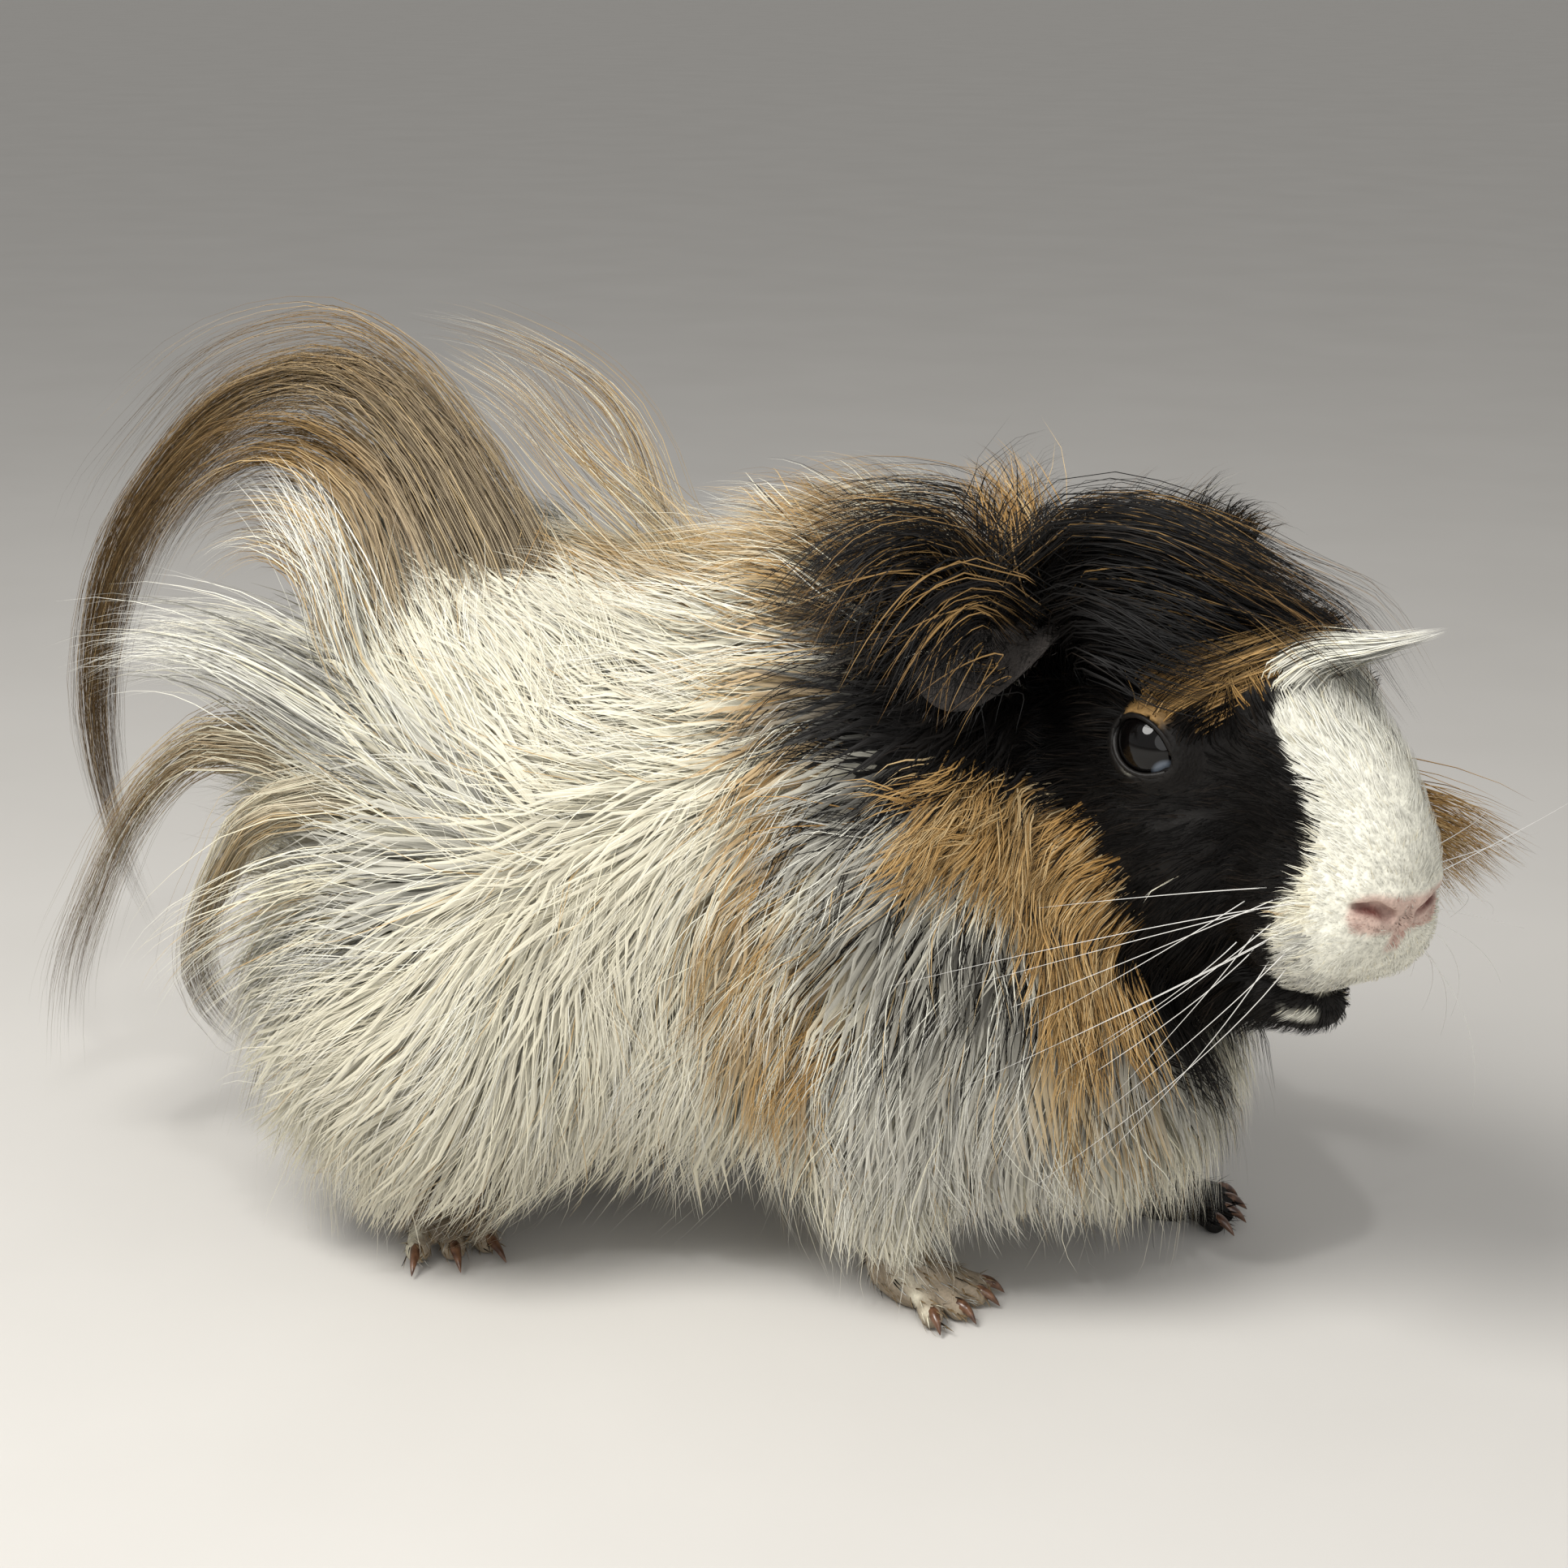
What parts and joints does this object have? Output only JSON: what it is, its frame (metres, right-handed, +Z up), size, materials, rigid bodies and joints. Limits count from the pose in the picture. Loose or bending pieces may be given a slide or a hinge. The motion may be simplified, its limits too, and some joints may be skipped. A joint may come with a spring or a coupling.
{
  "type": "guinea pig",
  "caption": "Life-size museum-style model of a long-haired rosetted guinea pig, standing, with its head turned to its right and a tall plume of rump hair.",
  "frame": {"origin": "centre of the model's bounding box, on the floor under the feet", "axes": "+X forward, from rump to chest, +Y to the animal's left, +Z up"},
  "size_m": [0.2642, 0.122, 0.1594],
  "materials": {
    "coat_cream": "long soft fur, cream white",
    "coat_white": "short dense fur, white",
    "coat_black": "sleek fur, black",
    "coat_orange": "fur, ginger",
    "coat_golden": "long hair, golden brown",
    "coat_roan": "long hair, black and white mixed",
    "coat_grey": "long hair, pale grey",
    "paw_skin": "thinly haired skin, tan grey",
    "ear_skin": "thin velvety skin, dark grey",
    "claw": "horn, reddish brown, glossy",
    "eye": "wet and glossy, nearly black"
  },
  "bodies": {
    "root": {"eye_left": "eye", "eye_right": "eye", "head": "coat_black", "muzzle": "coat_white", "lower_jaw": "coat_white", "ear_left": "ear_skin", "ear_right": "ear_skin", "forepaw_left_claw_1": "claw", "forepaw_left_claw_2": "claw", "forepaw_left_claw_3": "claw", "forepaw_left_claw_4": "claw", "forepaw_left": "paw_skin", "foreleg_left": "coat_roan", "hindpaw_left_claw_1": "claw", "hindpaw_left_claw_2": "claw", "hindpaw_left_claw_3": "claw", "hindpaw_left": "paw_skin", "hindleg_left": "coat_cream", "haunch_left": "coat_cream", "forepaw_right_claw_1": "claw", "forepaw_right_claw_2": "claw", "forepaw_right_claw_3": "claw", "forepaw_right_claw_4": "claw", "forepaw_right": "paw_skin", "foreleg_right": "coat_roan", "hindpaw_right_claw_1": "claw", "hindpaw_right_claw_2": "claw", "hindpaw_right_claw_3": "claw", "hindpaw_right": "paw_skin", "hindleg_right": "coat_cream", "haunch_right": "coat_cream", "neck": "coat_orange", "shoulders": "coat_roan", "trunk": "coat_cream", "rump": "coat_cream", "plume_root": "coat_cream", "plume_rise": "coat_golden", "plume_arch": "coat_golden", "plume_fall": "coat_golden", "plume_inner_rise": "coat_golden", "plume_inner_fall": "coat_golden", "plume_front_rise": "coat_golden", "plume_front_fall": "coat_golden", "back_fan": "coat_grey", "rump_lock_left": "coat_grey", "tail_lock_rise": "coat_grey", "tail_lock_fall": "coat_golden", "tail_lock_tip": "coat_golden", "rump_curl_upper": "coat_cream", "rump_curl_lower": "coat_golden", "shoulder_crest": "coat_orange", "poll_crest": "coat_black", "forelock": "coat_black", "brow_tuft": "coat_white", "cheek_tuft_left": "coat_orange", "cheek_ruff_left": "coat_orange"}
  },
  "joints": []
}
